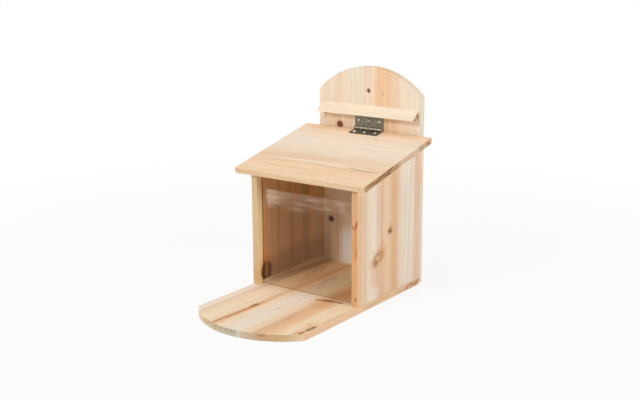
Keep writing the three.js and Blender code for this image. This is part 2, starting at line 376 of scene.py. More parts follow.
def knotted(nodes, color, relief, distance, blotch, knot):
    """Adds a knot: a ringed heart, a darker broken rim and a warm halo"""
    halo = nodes.smooth(distance, 2.2, 0.95, 0, 0.5 * knot.strength)
    color = nodes.mix(halo, color, linear(HALO), "MULTIPLY")
    wave = nodes.math("SINE", nodes.scaled(blotch, 6, nodes.times(distance, 19)))
    depth = nodes.scaled(wave, 0.22, distance)
    depth = nodes.scaled(nodes.math("SUBTRACT", blotch, 0.5), 1.6, depth)
    heart = nodes.ramp(depth, [(0.25, linear(knot.core)), (1.0, linear(knot.rim))])
    color = nodes.mix(nodes.smooth(distance, 1.14, 0.86, 0, knot.strength), color, heart)
    return color, nodes.math("ADD", relief, nodes.smooth(distance, 1.2, 0.8, 0, 0.8))


def marked(nodes, wood, color, ripple, face, at, size, tone, strength, angle=0, bend=0):
    """Adds a streak, patch or line that tapers to both ends and follows the ripple of the grain. Its size is
    its length and width in millimetres, and its angle in degrees."""
    run, off = offset(nodes, wood.on(face), at, angle)
    length, width = size
    if bend:
        off = nodes.scaled(nodes.times(run, run), bend, off)
    off = nodes.scaled(ripple, min(0.9, width / 5), off)
    taper = nodes.smooth(nodes.math("ABSOLUTE", run), length / 2, length / 6)
    reach = nodes.math("MAXIMUM", nodes.times(taper, width / 2), 0.01)
    ratio = nodes.math("DIVIDE", nodes.math("ABSOLUTE", off), reach)
    mask = nodes.times(nodes.smooth(ratio, 1.4, 0.25, 0, strength), taper)
    return nodes.mix(nodes.times(mask, wood.faces[face]), color, linear(tone))


def wood_material(
        name, grain, across, span, tones, joints, marks, seed, figure, knots=(), waver=0.4,
        end=(0.86, 0.8, 0.72), edge=(0.97, 0.95, 0.93), inner=None, in_lid=False):
    """Planed fir glued up from staves. grain and across are axes. tones are (place across, tone) stops,
    joints the glue lines' places, and marks are lists by face: flat, edge or end, or the faces round the feed
    compartment, where painted light and shade go. figure is the depth of the rings, and waver how far the
    tones' bounds wander. end and edge are the tints of those faces; the compartment's tint is painted shade."""
    nodes = Nodes(bpy.data.materials.new(name))
    wood = Wood(nodes, grain, across, in_lid)
    chance = random.Random(seed)
    low, high = span

    def share(value):
        return (value - low) / (high - low)

    def signed(value, gain):
        """A noise as an amount between minus and plus the gain"""
        return nodes.scaled(value, 2 * gain, -gain)

    def grained(along, side, detail, roughness=0.5, further=0):
        """A noise stretched along the grain, different in each stave"""
        apart = nodes.math("ADD", shift, further)
        spot = nodes.join(
            nodes.math("DIVIDE", wood.along, along),
            nodes.math("ADD", nodes.math("DIVIDE", wood.side, side), apart),
            nodes.math("DIVIDE", wood.deep, side),
        )
        return nodes.noise(spot, detail, roughness)

    # Each stave has its own three random numbers
    place = nodes.math("DIVIDE", nodes.math("SUBTRACT", wood.side, low), high - low)
    stops = [(share(joint), [chance.random() for _ in range(3)] + [1]) for joint in [low, *joints]]
    separate = nodes.node("SeparateColor")
    nodes.put(separate.inputs[0], nodes.ramp(place, stops, "CONSTANT"))
    stave = list(separate.outputs)[:3]
    shift = nodes.times(stave[0], STAVE_SHIFT)

    ripple = signed(grained(*RIPPLE), 1.5)
    distances = [knot_distance(nodes, wood, knot) for knot in knots]
    late = growth_rings(nodes, wood, stave, (low + high) / 2, grained(*WANDER), ripple, distances)
    fibre = grained(*FIBRE)

    # Tones across the board, varied by rings, streaks, clouds and fibres
    color = nodes.ramp(
        nodes.scaled(ripple, waver / (high - low), place),
        [(share(at), linear(tone)) for at, tone in tones],
    )
    ring_depth = nodes.scaled(stave[2], figure, figure * 0.35)
    rings = nodes.times(nodes.math("SUBTRACT", late, 0.3), ring_depth)
    color = nodes.shade(color, rings, LATE_TINT)
    for noise, gain, tint in VARIATIONS:
        color = nodes.shade(color, signed(grained(*noise), gain), tint)
    color = nodes.shade(color, signed(fibre, 0.6), FIBRE_TINT)
    color = nodes.shade(color, nodes.smooth(grained(*PORES), 0.66, 0.8, 0, 0.5), PORE_TINT)

    # Knots and glue lines
    relief = nodes.times(late, 0.35)
    blotch = grained(*BLOTCHES)
    for knot, distance in zip(knots, distances):
        rough = nodes.scaled(ripple, 0.07, distance)
        color, relief = knotted(nodes, color, relief, rough, blotch, knot)
    for joint in joints:
        away = nodes.math("ABSOLUTE", nodes.math("SUBTRACT", wood.side, joint))
        color = nodes.shade(color, nodes.smooth(away, 0.5, 0.1, 0, 0.35), GLUE_TINT)

    # Painted shade: the faces inside the box are tinted browner. End grain is darker and speckled
    if inner:
        color = nodes.shade(color, wood.faces["inner"], inner)
    for face, rows in marks.items():
        for row in rows:
            color = marked(nodes, wood, color, ripple, face, *row)
    speckle = nodes.scaled(grained(*SPECKLES), 1.6, 0.1)
    color = nodes.shade(color, nodes.times(wood.end, speckle), end)
    color = nodes.shade(color, wood.edge, edge)
    color = nodes.vector("MAXIMUM", nodes.vector("MINIMUM", color, (BRIGHTEST,) * 3), (DARKEST,) * 3)

    gloss = nodes.scaled(fibre, 0.25, 0.5)
    height = nodes.scaled(fibre, 0.7, relief)
    return nodes.show(nodes.made("BsdfPrincipled", {
        "Base Color": color,
        "Roughness": nodes.scaled(wood.end, 0.15, gloss),
        "Specular IOR Level": 0.3,
        "Normal": nodes.bumped(height, 0.5, 0.22 * MM),
    }))


def metal_material(name, light, dark, roughness, variation, scale, wear_and_highlight=None):
    """Plated steel, mottled and scuffed in colour and gloss; lighter round the pin as wear and a painted
    highlight
    """
    nodes = Nodes(bpy.data.materials.new(name))
    place = nodes.node("TexCoord").outputs["Object"]
    mottle = nodes.noise(nodes.vector("MULTIPLY", place, (scale,) * 3), 4, 0.7)
    scuffs = nodes.noise(nodes.vector("MULTIPLY", place, (scale / 2, scale * 2, scale * 2)), 2)
    both = nodes.math("ADD", nodes.times(mottle, 0.85), nodes.times(scuffs, 0.15))
    color = nodes.mix(nodes.smooth(both, 0.38, 0.62, 0, variation), linear(light), linear(dark))
    # Lighter knuckles round the pin: wear, and a painted highlight along them
    if wear_and_highlight:
        away = nodes.vector("MULTIPLY", nodes.vector("SUBTRACT", place, tuple(PIN)), (0, 1 / MM, 1 / MM))
        rubbed_and_highlit = nodes.smooth(nodes.length(away), KNUCKLE_RADIUS + 0.6, KNUCKLE_RADIUS - 0.1)
        rubbed_and_highlit = nodes.times(rubbed_and_highlit, nodes.smooth(mottle, 0.62, 0.4))
        color = nodes.mix(rubbed_and_highlit, color, linear(wear_and_highlight))
    return nodes.show(nodes.made("BsdfPrincipled", {
        "Base Color": color,
        "Metallic": 1,
        "Roughness": nodes.scaled(both, 0.4, roughness - 0.2),
        "Normal": nodes.bumped(both, 0.3, 0.12 * MM),
    }))


def pane_material():
    """Clear acrylic that lets the light of lamps through, with a painted reflection along its top as a faint
    pale layer
    """
    nodes = Nodes(bpy.data.materials.new("acrylic"))
    place = nodes.axes(nodes.vector("MULTIPLY", nodes.node("TexCoord").outputs["Object"], (1 / MM,) * 3))
    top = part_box("front_pane")[1].z / MM

    def reflection_noise(along, up, detail):
        spot = nodes.join(nodes.math("DIVIDE", place[X], along), 0.5, nodes.math("DIVIDE", place[Z], up))
        return nodes.noise(spot, detail)

    # The painted reflection hangs down unevenly in streaks, is thicker at the left corner and ends beside the
    # left edge
    below = nodes.math("SUBTRACT", top, place[Z])
    reach = nodes.times(reflection_noise(34, 60, 2), 50)
    painted_reflection = nodes.smooth(nodes.math("SUBTRACT", below, reach), -14, 7, 1, 0)
    streaks = nodes.smooth(reflection_noise(20, 4.5, 3), 0.42, 0.72, 0.06, 0.24)
    corner = nodes.times(nodes.smooth(place[X], -40, -72, 0, 0.2), nodes.smooth(below, 44, 12))
    painted_reflection = nodes.times(painted_reflection, nodes.math("ADD", streaks, corner))
    painted_reflection = nodes.times(painted_reflection, nodes.smooth(place[X], -78, -74))

    glass = nodes.made("BsdfPrincipled", {
        "Base Color": (0.97, 0.97, 0.97, 1), "Transmission Weight": 1, "IOR": 1.2, "Roughness": 0.02,
    })
    # A pale layer that stands for a reflection in the pane: painted reflection
    reflection_paint = nodes.made("BsdfPrincipled", {"Base Color": (0.8, 0.62, 0.47, 1), "Roughness": 0.5})
    clear = nodes.made("BsdfTransparent", {"Color": (0.98, 0.98, 0.98, 1)})
    path = nodes.node("LightPath")
    through = nodes.math("MAXIMUM", path.outputs["Is Shadow Ray"], path.outputs["Is Diffuse Ray"])
    return nodes.show(nodes.mix_shaders(through, nodes.mix_shaders(painted_reflection, glass, reflection_paint), clear))


def added(name, data):
    """A new object in the scene"""
    item = bpy.data.objects.new(name, data)
    bpy.context.scene.collection.objects.link(item)
    return item


def place_piece(name, shape, material, body, node):
    """A finished shape as a piece that rides on a body in the place of a CAD node"""
    for face in shape.faces:
        face.smooth = True
    for edge in shape.edges:
        edge.smooth = edge.calc_face_angle(0) < SHADED_ANGLE
    mesh = bpy.data.meshes.new(name)
    shape.to_mesh(mesh)
    shape.free()
    mesh.materials.append(material)
    piece = added(name, mesh)
    even = piece.modifiers.new("even_normals", "WEIGHTED_NORMAL")
    even.keep_sharp = True
    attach(piece, body)
    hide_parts(node)


def carved(shape, cutters):
    """A shape less some cutting shapes, which are used up"""
    used = []
    for part in (shape, *cutters):
        bmesh.ops.recalc_face_normals(part, faces=part.faces)
        mesh = bpy.data.meshes.new("carving")
        part.to_mesh(mesh)
        part.free()
        used.append(added("carving", mesh))
    for cutter in used[1:]:
        cut = used[0].modifiers.new("cut", "BOOLEAN")
        cut.operation = "DIFFERENCE"
        cut.solver = "EXACT"
        cut.object = cutter
    solid = used[0].evaluated_get(bpy.context.evaluated_depsgraph_get())
    result = bmesh.new()
    result.from_mesh(solid.to_mesh())
    solid.to_mesh_clear()
    for part in used:
        mesh = part.data
        bpy.data.objects.remove(part)
        bpy.data.meshes.remove(mesh)
    return result


def lofted(rings):
    """A closed shape through rings of points in millimetres"""
    shape = bmesh.new()
    rows = [[shape.verts.new(Vector(point) * MM) for point in ring] for ring in rings]
    for a, b in zip(rows, rows[1:]):
        for i in range(len(a)):
            j = (i + 1) % len(a)
            shape.faces.new((a[i], a[j], b[j], b[i]))
    shape.faces.new(rows[0][::-1])
    shape.faces.new(rows[-1])
    return shape


def split(start, end, out, width, depth, seed, stations=9):
    """A cutter for a crack or pit: a ragged wedge along a line on a face, open along the direction out"""
    chance = random.Random(seed)
    start, end, out = Vector(start), Vector(end), Vector(out).normalized()
    across = (end - start).cross(out).normalized()
    rings = []
    for i in range(stations):
        share = i / (stations - 1)
        swell = math.sin(math.pi * (0.06 + 0.88 * share)) * chance.uniform(0.7, 1.15)
        middle = start.lerp(end, share) + across * width * chance.uniform(-0.22, 0.22)
        half = across * width / 2 * swell
        rings.append([middle - half + out, middle + half + out, middle - out * depth * swell])
    return lofted(rings)


def chipped_mouth(x, z, radius, seed, steps=26):
    """A cutter for the splintered mouth of a hole through the back board's front face"""
    chance = random.Random(seed)
    rings = []
    for out, spread in ((1, 1.5), (0, 1), (-1.3, 0.02)):
        ring = []
        for i in range(steps):
            turn = 2 * math.pi * i / steps
            along_grain = 0.5 + 0.7 * abs(math.sin(turn))
            reach = radius + 0.1 + spread * along_grain * chance.uniform(0.2, 1.1)
            ring.append((x + reach * math.cos(turn), BACK_FRONT - out, z + reach * math.sin(turn)))
        rings.append(ring)
    return lofted(rings)


def holds(box, point, margin):
    low, high = box
    return all(low[i] - margin < point[i] < high[i] + margin for i in range(3))


def eased(shape, edges, arris, segments):
    """Rounds edges by an arris in millimetres"""
    bmesh.ops.bevel(
        shape, geom=edges, offset=arris * MM, offset_type="OFFSET", segments=segments, profile=0.5,
        affect="EDGES", clamp_overlap=True,
    )


def board(node, body, material, cutters=(), arris=ARRIS, suffix="wood"):
    """A CAD board with whole faces and rounded arrises, apart from the mouths of its nail holes"""
    fasteners = [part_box(name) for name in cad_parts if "nail" in name or "screw" in name]
    shape = bmesh.new()
    shape.from_mesh(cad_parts[node].data)
    bmesh.ops.remove_doubles(shape, verts=shape.verts, dist=0.02 * MM)
    bmesh.ops.dissolve_limit(shape, angle_limit=math.radians(0.5), verts=shape.verts, edges=shape.edges)
    sharp = []
    for edge in shape.edges:
        middle = (edge.verts[0].co + edge.verts[1].co) / 2
        in_hole = any(holds(box, middle, 0.5 * MM) for box in fasteners)
        if not in_hole and edge.calc_face_angle(0) > BOARD_ANGLE:
            sharp.append(edge)
    eased(shape, sharp, arris, ARRIS_SEGMENTS)
    if cutters:
        shape = carved(shape, cutters)
    place_piece(f"{node}_{suffix}", shape, material, body, node)


def turned_shape(profile, segments):
    """A closed shape turned about the Z axis, from (radius, height) points in millimetres, axis to axis"""
    shape = bmesh.new()
    rings = []
    for radius, height in profile:
        steps = segments if radius else 1
        turns = [2 * math.pi * i / steps for i in range(steps)]
        rings.append([
            shape.verts.new(Vector((radius * math.cos(t), radius * math.sin(t), height)) * MM) for t in turns
        ])
    for low, high in zip(rings, rings[1:]):
        for i in range(segments):
            j = (i + 1) % segments
            corners = [low[i % len(low)], low[j % len(low)], high[j % len(high)], high[i % len(high)]]
            shape.faces.new(list(dict.fromkeys(corners)))
    bmesh.ops.recalc_face_normals(shape, faces=shape.faces)
    return shape


def domed(radius, low, high, steps=5):
    """Points of a dome between its rim and its crown"""
    turns = [math.pi / 2 * i / steps for i in range(1, steps)]
    return [(radius * math.cos(t), low + (high - low) * math.sin(t)) for t in turns]


def nail_shape(length):
    """A nail along -Z, the crown of its low head at 0"""
    head, sink, shank, tip, rim = 1.8, 1.1, 0.8, 2, -0.15
    profile = [(0, -length), (shank * 0.3, 0.35 - length), (shank, tip - length), (shank, -sink)]
    profile += [(head, rim - 0.2), (head, rim), *domed(head, rim, 0), (0, 0)]
    return turned_shape(profile, 28)


def screw_shape():
    """A countersunk screw along -Z, its domed head's rim at 0, with a cross recess that narrows inwards"""
    head, dome, sink, shank, length, tip = 2.55, 0.7, 1.3, 1.15, 9, 2.5
    profile = [(0, -length), (shank * 0.4, 0.8 - length), (shank, tip - length), (shank, -sink)]
    profile += [(head, -0.12), (head, 0), *domed(head, 0, dome), (0, dome)]
    arm, half = 1.5, 0.42
    quarter = [(arm, -half), (arm, half), (half, half)]
    outline = []
    for turn in range(4):
        cos, sin = round(math.cos(turn * math.pi / 2)), round(math.sin(turn * math.pi / 2))
        outline += [(x * cos - y * sin, x * sin + y * cos) for x, y in quarter]
    levels = ((dome - 1, 0.45), (dome + 0.5, 1.15))
    recess = lofted([[(x * scale, y * scale, height) for x, y in outline] for height, scale in levels])
    return carved(turned_shape(profile, 36), [recess])


def pin_shape():
    """The hinge pin along Z, with rounded ends"""
    half, ease = HINGE_LENGTH / 2, 0.3
    end = [*domed(PIN_RADIUS, half - ease, half), (0, half)]
    start = [(radius, -height) for radius, height in reversed(end)]
    return turned_shape([*start, (PIN_RADIUS, ease - half), (PIN_RADIUS, half - ease), *end], 32)


def arc(middle, radius, start, end, steps):
    """Points on an arc between two angles in degrees"""
    turns = [math.radians(start + (end - start) * i / steps) for i in range(steps + 1)]
    return [(middle[0] + radius * math.cos(t), middle[1] + radius * math.sin(t)) for t in turns]


def leaf_outline(tabs):
    """Outline of a hinge leaf's flat part, with its two outer corners rounded"""
    half, edge = HINGE_LENGTH / 2, -KNUCKLE_RADIUS - KNUCKLE_GAP
    corner = half - LEAF_CORNER, LEAF_CORNER - LEAF_DEPTH
    points = [(-half, edge), *arc((-corner[0], corner[1]), LEAF_CORNER, 180, 270, 5)]
    points += [*arc(corner, LEAF_CORNER, 270, 360, 5), (half, edge)]
    for left, right in reversed(tabs):
        points += [(right, edge), (right, 0), (left, 0), (left, edge)]
    return list(dict.fromkeys((round(x, 4), round(y, 4)) for x, y in points))


def leaf_shape(first_knuckle):
    """A hinge leaf about its pin, which lies along X: a plate along -Y whose tabs are rolled round the pin"""
    pitch, half = HINGE_LENGTH / KNUCKLES, HINGE_LENGTH / 2
    tabs = []
    for i in range(first_knuckle, KNUCKLES, 2):
        left = i * pitch - half + (KNUCKLE_GAP / 2 if i else 0)
        right = (i + 1) * pitch - half - (KNUCKLE_GAP / 2 if i < KNUCKLES - 1 else 0)
        tabs.append((round(left, 4), round(right, 4)))
    outline = leaf_outline(tabs)
    shape = bmesh.new()

    # Plate with countersunk holes
    rims = {}
    for height, radius in ((-BORE_RADIUS, SCREW_HOLE), (-KNUCKLE_RADIUS, SCREW_HOLE_FOOT)):
        loops = [outline]
        loops += [arc((x, -SCREW_ROW), radius, 0, 360 - 360 / 32, 31) for x in SCREW_PLACES]
        rims[height] = [[shape.verts.new(Vector((x, y, height)) * MM) for x, y in loop] for loop in loops]
        edges = []
        for loop in rims[height]:
            edges += [shape.edges.new((loop[i - 1], loop[i])) for i in range(len(loop))]
        bmesh.ops.triangle_fill(shape, use_beauty=True, edges=edges)
    top, foot = rims[-BORE_RADIUS], rims[-KNUCKLE_RADIUS]
    for high, low in zip(top, foot):
        for i in range(len(high)):
            rolled = high is top[0] and outline[i - 1][1] == outline[i][1] == 0
            if not rolled:
                shape.faces.new((high[i - 1], high[i], low[i], low[i - 1]))

    # Knuckles, swept from the tabs' ends round the pin to a seam
    corners = {point: (high, low) for point, high, low in zip(outline, top[0], foot[0])}
    steps = 26
    for left, right in tabs:
        (inner_left, outer_left), (inner_right, outer_right) = corners[(left, 0)], corners[(right, 0)]
        section = [inner_left, inner_right, outer_right, outer_left]
        places = [(left, BORE_RADIUS), (right, BORE_RADIUS), (right, KNUCKLE_RADIUS), (left, KNUCKLE_RADIUS)]
        for step in range(1, steps + 1):
            turn = math.radians(-90 + (KNUCKLE_SEAM + 90) * step / steps)
            further = [
                shape.verts.new(Vector((x, radius * math.cos(turn), radius * math.sin(turn))) * MM)
                for x, radius in places
            ]
            for i in range(4):
                shape.faces.new((section[i - 1], section[i], further[i], further[i - 1]))
            section = further
        shape.faces.new(section)

    bmesh.ops.recalc_face_normals(shape, faces=shape.faces)
    eased(shape, [edge for edge in shape.edges if edge.calc_face_angle(0) > LEAF_ANGLE], LEAF_ARRIS, 2)
    return shape


def make_base():
    top = [
        # Resin streak with a dark spot, and its faint run towards the box
        ((-117, -31), (190, 13), AMBER, 0.6, 3.5),
        ((-117, -31.3), (176, 4.6), COPPER, 0.9, 3.5),
        ((-80, -31.2), (28, 5.6), RESIN, 0.85, 4),
        ((-77, -31.4), (12, 3.4), BARK, 0.7, 6),
        ((-45, -29.6), (90, 7), AMBER, 0.55, -2),
        # Flame of darker wood on the right, and the pocket of bark in front of the pane
        ((-60, 44), (150, 26), AMBER, 0.45, -4),
        ((-22, 46), (60, 34), "dfac7a", 0.65, -8),
        ((-88, 37), (60, 9), UMBER, 0.2, -9),
        ((-130, 47), (70, 10), AMBER, 0.3, 4),
        ((-10, 34), (28, 11), ORANGE, 0.75, 60),
        ((-9.4, 31), (24, 5), COPPER, 0.9, 70),
        ((-6.4, 43), (34, 8), BARK, 1, 80),
        ((-4, 58), (28, 6), RESIN, 0.9, 93),
        # Cracks and a curl of brown wood along the right-hand arris
        ((-116, 85), (80, 16), AMBER, 0.6, 1),
        ((-132, 84), (30, 8), ORANGE, 0.5, 24),
        ((-98, 78), (26, 10), TAN, 0.7, -40),
        ((-131, 88.2), (19, 4.6), BARK, 1, 5),
        ((-110, 89), (32, 5.8), BARK, 1, 2),
        ((-60, 91), (90, 3), UMBER, 0.4),
        ((-76, -56), (40, 3), TAN, 0.6, 110),
        ((-72, 4.8), (16, 6), "c4b194", 0.45, 20),
        # Rosy clouds on the pale stave
        ((-130, -14), (60, 9), "efd5bf", 0.7, 3),
        ((-56, 12), (70, 14), "efd5bf", 0.6, -4),
        # Floor along the left wall and the back, and brown clouds in the middle
        ((81, -79), (420, 10), SHELL, 0.75),
        ((81, -72.4), (330, 3.6), UMBER, 0.7),
        ((154, 0), (400, 9), SHELL, 0.7, 90),
        ((147.5, -10), (260, 3), UMBER, 0.35, 90),
        ((84, -50), (110, 20), "c8945e", 0.35, -9),
        ((62, -10), (100, 14), "c8945e", 0.25, -10),
        ((100, 22), (80, 17), "c8945e", 0.3, -12),
        ((26, 60), (90, 60), "c08c5a", 0.6, 20),
    ]
    # Platform's front edge: brown and speckled on the left, pink, then orange to the right
    front = [
        ((-62, 5), (44, 18), TAN, 0.6),
        ((-45, 8), (34, 7), UMBER, 0.5, 6),
        ((-14, 5), (66, 18), "d3c8a4", 0.6),
        ((-26, 7.5), (6, 3.4), UMBER, 0.8, 20),
        ((-15, 6.8), (5, 3), UMBER, 0.8),
        ((-6, 7.6), (6, 2.8), RESIN, 0.5, -20),
        ((3, 6.4), (5, 3.2), RESIN, 0.5),
        ((8, 7.8), (9, 3.4), UMBER, 0.6),
        ((29, 5), (34, 16), ROSE, 0.6),
        ((68, 5), (76, 20), "e0b580", 0.8),
        ((46, 8), (18, 6), UMBER, 0.6),
    ]
    # Right-hand edge under the panel, with worm marks
    right = [
        ((60, 5), (240, 20), "edcaa6", 0.5),
        ((30, 4), (60, 6), "d2ba8e", 0.6, 4),
        ((104, 5), (50, 8), "d2ba8e", 0.6, -5),
        ((62, 6), (46, 6), ORANGE, 0.45),
        ((140, 5.5), (70, 12), "cf9a74", 0.6),
        ((124, 4.5), (16, 4), "b57c54", 0.6, 24),
        ((137, 6), (18, 4), "a8694a", 0.7, -20),
        ((149, 4.6), (18, 5), "a05f46", 0.7, 22),
        ((158, 7.5), (14, 4), "a05f46", 0.65, -24),
    ]
    # Its faces inside the box get a browner tint, which is painted shade
    material = wood_material(
        "wood_base", Y, X, (-93, 93),
        [
            (-93, BLUSH), (-88, IVORY), (-82, IVORY), (-79, BLUSH), (-71, SHELL), (-66, STRAW), (-46, STRAW),
            (-40, SHELL), (-35, PEACH), (-30, TAN), (-25, PEACH), (-20, STRAW), (-8, BONE), (14, BONE),
            (24, STRAW), (31, SHELL), (37, TAN), (47, TAN), (54, HONEY), (60, PEACH), (66, STRAW),
            (86, STRAW), (93, PEACH),
        ],
        [-80, -45, -24, 33.5, 63.5], {"flat": top, "end": front, "edge": right}, seed=3, figure=0.06,
        waver=1.8, end=(0.79, 0.82, 0.85), edge=(1, 0.98, 0.96), inner=(0.97, 0.86, 0.68),
    )
    cutters = [
        split((28.4, -9, BASE_TOP), (45, -6.1, BASE_TOP), (0, -0.2, 1), 3, 1.1, 1),
        split((42, -6.4, BASE_TOP), (59, -4.5, BASE_TOP), (0, -0.2, 1), 2, 0.8, 2),
        split((88.7, -134.9, BASE_TOP), (89.5, -125.6, BASE_TOP), (0.1, 0, 1), 2, 1.2, 3),
        split((89.3, -121, BASE_TOP), (90.1, -100, BASE_TOP), (0.1, 0, 1), 2.6, 1.6, 4),
    ]
    board("base_board", "box", material, cutters)


def make_back():
    through = [
        # Above the lid: pale wood round the hanging hole, flecks, and browner and paler stripes
        ((286, 0), (16, 13), CREAM, 0.9),
        ((282.6, 25.5), (10, 1.5), RESIN, 0.6),
        ((228, -36), (100, 13), "ecc098", 0.5),
        ((228, -65), (100, 10), "ecc098", 0.4),
        ((282.5, 88), (7, 2), "c9b98f", 0.7),
        ((235, 19), (220, 12), HONEY, 0.6, -2),
        ((230, 39.5), (200, 2.2), IVORY, 0.5),
        ((230, 44.5), (180, 1.6), SHELL, 0.5),
        ((270, -34), (120, 3), TAN, 0.35, 5),
        ((262, -24), (110, 2.4), TAN, 0.3, 3),
        ((232, 55), (44, 60), AMBER, 0.18),
        ((236, 38), (30, 4), IVORY, 0.5),
        ((236, 52), (30, 5), IVORY, 0.4),
        ((233, -36), (40, 2.5), IVORY, 0.6),
        # Behind the compartment: pale and dark stripes
        ((100, -79), (300, 7), MILK, 0.5),
        ((60, -56), (150, 5), UMBER, 0.5),
        ((70, -50), (150, 3), UMBER, 0.3),
    ]
    # Painted light inside the box, at the left: pale patches where light through the opening falls on the
    # back wall
    painted_light_patches = [
        ((132, -44), (84, 70), "fdf0e0", 0.9),
        ((34, -38), (120, 30), "fbf3ea", 1),
        ((32, -30), (110, 24), "fbf3ea", 1),
    ]
    # Two knots, and the brown wall of the hanging hole
    knots = [
        Knot((230.6, -52), (4.9, 5.4), 25, 1, "8a5426", "54300f"),
        Knot((78, -68.8), (4.2, 4.6), 0, 1, "6e4a2a", "4a2f18"),
        Knot((HANG_HOLE[1], HANG_HOLE[0]), (3.2, 3.2), 0, 0.9, "a08246", "ac9258"),
    ]
    # Its faces inside the box get a tint, which is painted shade
    material = wood_material(
        "wood_back", Z, X, (-90, 90),
        [
            (-90, IVORY), (-82, "eedac0"), (-76, "ecd8bd"), (-45, "efd9bf"), (-39, "ecdbc4"), (-15, "ecdbc4"),
            (-9, "efd9bf"), (4, CREAM), (9, STRAW), (15, PEACH), (21, "f1c8a0"), (30, "efc99f"),
            (37, "eec99e"), (41, PEACH), (46, SHELL), (52, SHELL), (58, CREAM), (64, "f0dec6"),
            (90, "f0dec6"),
        ],
        [-50, -8, 10, 38, 52], {"flat": through, "inner": painted_light_patches}, knots=knots, seed=5, figure=0.07,
        waver=1.3, end=(0.99, 0.98, 0.96), edge=(0.965, 0.965, 0.96), inner=(1.03, 0.97, 0.84),
    )
    cutters = [chipped_mouth(*HANG_HOLE, HANG_HOLE_RADIUS, 6)]
    board("back_board", "box", material, cutters)


def make_sides():
    def panel(side, seed, tint, tones, joints, knots, **marks):
        # The faces inside the box get a browner tint, which is painted shade
        material = wood_material(
            f"wood_side_{side}", Z, Y, (PANEL_FRONT, PANEL_FRONT + PANEL_DEPTH),
            [(PANEL_FRONT + at, tone) for at, tone in tones], [PANEL_FRONT + at for at in joints],
            marks, seed, figure=0.11, knots=knots, waver=0.8, edge=tint, inner=(0.84, 0.76, 0.54),
        )
        board(f"side_panel_{side}", "box", material)

    panel(
        "right", 11, (0.91, 0.8, 0.69),
        [
            (0, HONEY), (2, TAN), (10, TAN), (15, PEACH), (20, "dfcdb0"), (27, CREAM), (33, "f1dec8"),
            (45, "f1dec8"), (49, BLUSH), (54, ROSE), (59, ROSE), (63, TAN), (67, "edc8a2"), (80, "edc8a2"),
            (87, TAN), (93, AMBER), (98, TAN), (103, ROSE), (108, BLUSH), (112, "eedcc6"), (147, "eedcc6"),
            (151, ROSE), (166, ROSE),
        ],
        [46, 65.3, 86, 105, 150.1],
        [
            Knot((69.6, 44.5), (14, 7.6), 67.7, 0.75, "dcb27c", "a3753f"),
            Knot((102.8, 75.5), (4, 4.6), 0, 1, "54320c", "8a5f2c"),
        ],
        flat=[
            # Stain under the oval knot and its dark lower end, and the tail of the small one
            ((48, 37), (64, 26), ORANGE, 0.4, 5),
            ((62, 38), (18, 11), "9a6a34", 0.55, 40),
            ((75, 46), (12, 7), "b5854c", 0.45, 50),
            ((84, 54), (34, 7), ORANGE, 0.5, 8),
            ((109, 78), (26, 8), "d0a670", 0.5, 10),
            ((150, 84.5), (90, 3), ORANGE, 0.5),
            ((60, 84.5), (130, 4), ORANGE, 0.3),
        ],
        edge=[
            # Forked mark on the front edge, the resin under it, and a yellower foot with a small dark mark
            ((128, 91.4), (22, 3.6), "a2602e", 0.95, 17),
            ((123, 87.4), (15, 3.6), "bd7a48", 0.9, -42),
            ((98, 89.4), (74, 8), "e8a873", 0.8, 1),
            ((88, 91.2), (20, 3), "b9743f", 0.6),
            ((36, 89), (100, 16), "e8c48e", 0.6),
            ((20.5, 90), (10, 3), "a2602e", 0.7),
            ((158, 88), (60, 14), "ecc8a0", 0.6),
        ],
    )
    panel(
        "left", 8, (0.82, 0.82, 0.8),
        [
            (0, "f2cf9f"), (1.5, "fae0b0"), (6, "fae0b0"), (11, "f6cfa2"), (16, "f2c49c"), (24, "f0caa4"),
            (34, "ecc8a2"), (44, PEACH), (52, TAN), (62, PEACH), (74, TAN), (84, PEACH), (100, TAN),
            (112, SHELL), (126, TAN), (140, PEACH), (150, SHELL), (166, TAN),
        ],
        [30, 58, 92, 128],
        [Knot((27, 11.5), (15.5, 12.5), 0, 1, "94643c", "3c2411")],
        flat=[
            # Orange wood above the knot with a light pith, then pale and brown streaks towards the back
            ((27, 12.5), (34, 4), "b98a5c", 0.75),
            ((80, 13), (150, 12), "d9935e", 0.6),
            ((72, 15), (50, 3), "e8b48c", 0.7, 6),
            ((68, 18), (24, 2), RESIN, 0.5, 12),
            ((100, 32), (260, 4), TAN, 0.55),
            ((95, 50), (260, 3), TAN, 0.5),
            ((110, 64), (200, 2), TAN, 0.4),
            ((60, 124), (80, 2), TAN, 0.6),
        ],
        inner=[
            # Brown bands, painted shade darkening the low part of the wall, and the wall's pale foot along
            # the floor
            ((70, 76), (200, 12), "8a5c36", 0.35),
            ((100, 108), (220, 22), "8a5c36", 0.35),
            ((BASE_TOP + 22, 95), (240, 44), "7d4f2c", 0.4, 90),
            ((BASE_TOP + 2, 75), (420, 9), "fbdfb6", 1, 90),
        ],
    )


def make_strip():
    marks = {
        "flat": [((-20, 258), (150, 2), STRAW, 0.3)],
        "end": [((256, 154.5), (13, 7), "b07a5a", 0.8, -10), ((251, 147), (6, 9), "9a6444", 0.7)],
    }
    material = wood_material(
        "wood_strip", X, Z, (245, 270), [(245, BONE), (270, BONE)], [], marks, seed=14, figure=0.05,
        end=(0.76, 0.65, 0.54),
    )
    board("drip_strip", "box", material)


